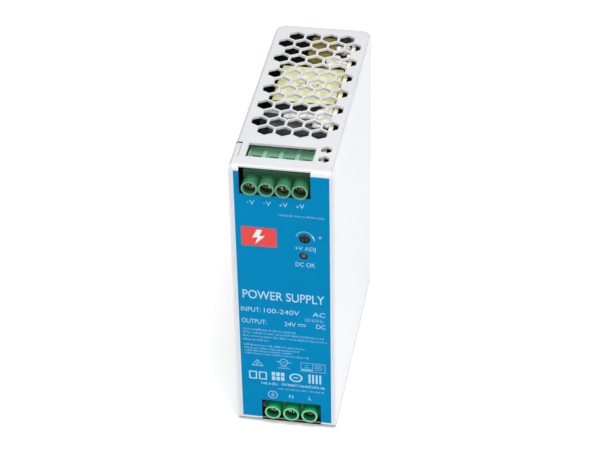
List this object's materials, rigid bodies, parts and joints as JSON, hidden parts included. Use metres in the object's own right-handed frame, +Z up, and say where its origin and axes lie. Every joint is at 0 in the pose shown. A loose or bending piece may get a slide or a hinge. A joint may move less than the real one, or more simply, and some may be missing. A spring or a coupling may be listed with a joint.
{
  "type": "din rail power supply",
  "caption": "Slim metal-cased power supply for a 35 mm rail, with vented top and bottom, screw terminals above and below a printed front, and a sprung rail latch.",
  "frame": {"origin": "centre of the footprint, on the underside of the case", "axes": "+Z up along the case height; -Y out of the front panel; +Y towards the rail; +X to the right seen from the front"},
  "size_m": [0.04, 0.1134, 0.1252],
  "materials": {
    "case_paint": "fine powder coat, light grey white",
    "front_print": "satin printed film, blue",
    "screw_steel": "zinc plated",
    "standoff_brass": "turned",
    "board_laminate": "cut laminate edge, green solder mask",
    "insulation_film": "smooth black film",
    "olive_box": "dipped epoxy",
    "output_block_plastic": "moulded, slightly glossy",
    "input_block_plastic": "moulded, slightly glossy",
    "contact_brass": "tin plated",
    "terminal_steel": "zinc plated",
    "dark_plastic": "moulded",
    "rotor_plastic": "moulded",
    "lamp_lens": "diffused lens",
    "ferrite": "ground ferrite",
    "copper_wire": "enamelled copper",
    "yellow_tape": "polyester tape",
    "capacitor_sleeve": "shrink sleeve with aluminium top",
    "film_box": "moulded box",
    "disc_coating": "dipped epoxy",
    "thermistor_coating": "dipped silicone",
    "fuse_body": "glazed tube",
    "heatsink_aluminium": "mill finish",
    "choke_core": "epoxy coated powder core",
    "silicone": "set silicone",
    "zinc_steel": "zinc plated",
    "spring_steel": "drawn wire"
  },
  "bodies": {
    "case": {"board_screws": "screw_steel", "board_standoffs": "standoff_brass", "bracket_screws": "screw_steel", "bridge_rectifier": "dark_plastic", "bulk_capacitors": "capacitor_sleeve", "cover_screws": "screw_steel", "din_bracket": "zinc_steel", "disc_capacitors": "disc_coating", "front_cover": "case_paint", "front_label": "front_print", "heatsink_screws": "screw_steel", "input_board": "board_laminate", "input_contacts": "contact_brass", "input_terminal_block": "input_block_plastic", "inrush_thermistor": "thermistor_coating", "insulation_liner": "insulation_film", "insulation_sheet": "insulation_film", "lamp_holder": "dark_plastic", "latch_spring": "spring_steel", "line_choke_core": "ferrite", "line_choke_windings": "copper_wire", "line_film_capacitor": "film_box", "line_fuse": "fuse_body", "main_board": "board_laminate", "output_board": "board_laminate", "output_capacitors": "capacitor_sleeve", "output_choke_core": "choke_core", "output_choke_winding": "copper_wire", "output_contacts": "contact_brass", "output_rectifiers": "dark_plastic", "output_terminal_block": "output_block_plastic", "primary_heatsink": "heatsink_aluminium", "secondary_heatsink": "heatsink_aluminium", "side_shell": "case_paint", "silicone_beads": "silicone", "snubber_capacitor": "olive_box", "status_lamp": "lamp_lens", "switching_transistors": "dark_plastic", "transformer_base": "dark_plastic", "transformer_core": "ferrite", "transformer_tape": "yellow_tape", "transformer_winding": "copper_wire", "trimmer_body": "dark_plastic", "varistor": "disc_coating"},
    "latch": {"din_latch": "zinc_steel"},
    "trimmer": {"trimmer_rotor": "rotor_plastic"},
    "output_screw_1": {"output_screw_1": "terminal_steel"},
    "output_clamp_1": {"output_clamp_1": "terminal_steel"},
    "output_screw_2": {"output_screw_2": "terminal_steel"},
    "output_clamp_2": {"output_clamp_2": "terminal_steel"},
    "output_screw_3": {"output_screw_3": "terminal_steel"},
    "output_clamp_3": {"output_clamp_3": "terminal_steel"},
    "output_screw_4": {"output_screw_4": "terminal_steel"},
    "output_clamp_4": {"output_clamp_4": "terminal_steel"},
    "input_screw_1": {"input_screw_1": "terminal_steel"},
    "input_clamp_1": {"input_clamp_1": "terminal_steel"},
    "input_screw_2": {"input_screw_2": "terminal_steel"},
    "input_clamp_2": {"input_clamp_2": "terminal_steel"},
    "input_screw_3": {"input_screw_3": "terminal_steel"},
    "input_clamp_3": {"input_clamp_3": "terminal_steel"}
  },
  "joints": [
    {"name": "latch_slide", "type": "slide", "parent": "case", "child": "latch", "axis": [0, 0, -1], "range_m": [0, 0.0045], "stiffness_N_per_m": 900, "springref_m": -0.004, "deforming": ["latch_spring"]},
    {"name": "trimmer_turn", "type": "hinge", "parent": "case", "child": "trimmer", "pos_m": [0.00855, -0.05475, 0.0944], "axis": [0, 1, 0], "range_deg": [-130, 130]},
    {"name": "output_screw_1_turn", "type": "hinge", "parent": "case", "child": "output_screw_1", "pos_m": [-0.01195, -0.05375, 0.1161], "axis": [0, 1, 0], "range_deg": [0, 1800]},
    {"name": "output_clamp_1_slide", "type": "slide", "parent": "case", "child": "output_clamp_1", "axis": [0, -1, 0], "range_m": [0, 0.0025]},
    {"name": "output_screw_2_turn", "type": "hinge", "parent": "case", "child": "output_screw_2", "pos_m": [-0.0056, -0.05375, 0.1161], "axis": [0, 1, 0], "range_deg": [0, 1800]},
    {"name": "output_clamp_2_slide", "type": "slide", "parent": "case", "child": "output_clamp_2", "axis": [0, -1, 0], "range_m": [0, 0.0025]},
    {"name": "output_screw_3_turn", "type": "hinge", "parent": "case", "child": "output_screw_3", "pos_m": [0.00075, -0.05375, 0.1161], "axis": [0, 1, 0], "range_deg": [0, 1800]},
    {"name": "output_clamp_3_slide", "type": "slide", "parent": "case", "child": "output_clamp_3", "axis": [0, -1, 0], "range_m": [0, 0.0025]},
    {"name": "output_screw_4_turn", "type": "hinge", "parent": "case", "child": "output_screw_4", "pos_m": [0.0071, -0.05375, 0.1161], "axis": [0, 1, 0], "range_deg": [0, 1800]},
    {"name": "output_clamp_4_slide", "type": "slide", "parent": "case", "child": "output_clamp_4", "axis": [0, -1, 0], "range_m": [0, 0.0025]},
    {"name": "input_screw_1_turn", "type": "hinge", "parent": "case", "child": "input_screw_1", "pos_m": [-0.0056, -0.05375, 0.006], "axis": [0, 1, 0], "range_deg": [0, 1800]},
    {"name": "input_clamp_1_slide", "type": "slide", "parent": "case", "child": "input_clamp_1", "axis": [0, -1, 0], "range_m": [0, 0.0025]},
    {"name": "input_screw_2_turn", "type": "hinge", "parent": "case", "child": "input_screw_2", "pos_m": [0.0019, -0.05375, 0.006], "axis": [0, 1, 0], "range_deg": [0, 1800]},
    {"name": "input_clamp_2_slide", "type": "slide", "parent": "case", "child": "input_clamp_2", "axis": [0, -1, 0], "range_m": [0, 0.0025]},
    {"name": "input_screw_3_turn", "type": "hinge", "parent": "case", "child": "input_screw_3", "pos_m": [0.0094, -0.05375, 0.006], "axis": [0, 1, 0], "range_deg": [0, 1800]},
    {"name": "input_clamp_3_slide", "type": "slide", "parent": "case", "child": "input_clamp_3", "axis": [0, -1, 0], "range_m": [0, 0.0025]}
  ],
  "couplings": [
    {"joint": "output_screw_1_turn", "follows": "output_clamp_1_slide", "rad_per_m": 12566},
    {"joint": "output_screw_2_turn", "follows": "output_clamp_2_slide", "rad_per_m": 12566},
    {"joint": "output_screw_3_turn", "follows": "output_clamp_3_slide", "rad_per_m": 12566},
    {"joint": "output_screw_4_turn", "follows": "output_clamp_4_slide", "rad_per_m": 12566},
    {"joint": "input_screw_1_turn", "follows": "input_clamp_1_slide", "rad_per_m": 12566},
    {"joint": "input_screw_2_turn", "follows": "input_clamp_2_slide", "rad_per_m": 12566},
    {"joint": "input_screw_3_turn", "follows": "input_clamp_3_slide", "rad_per_m": 12566}
  ]
}
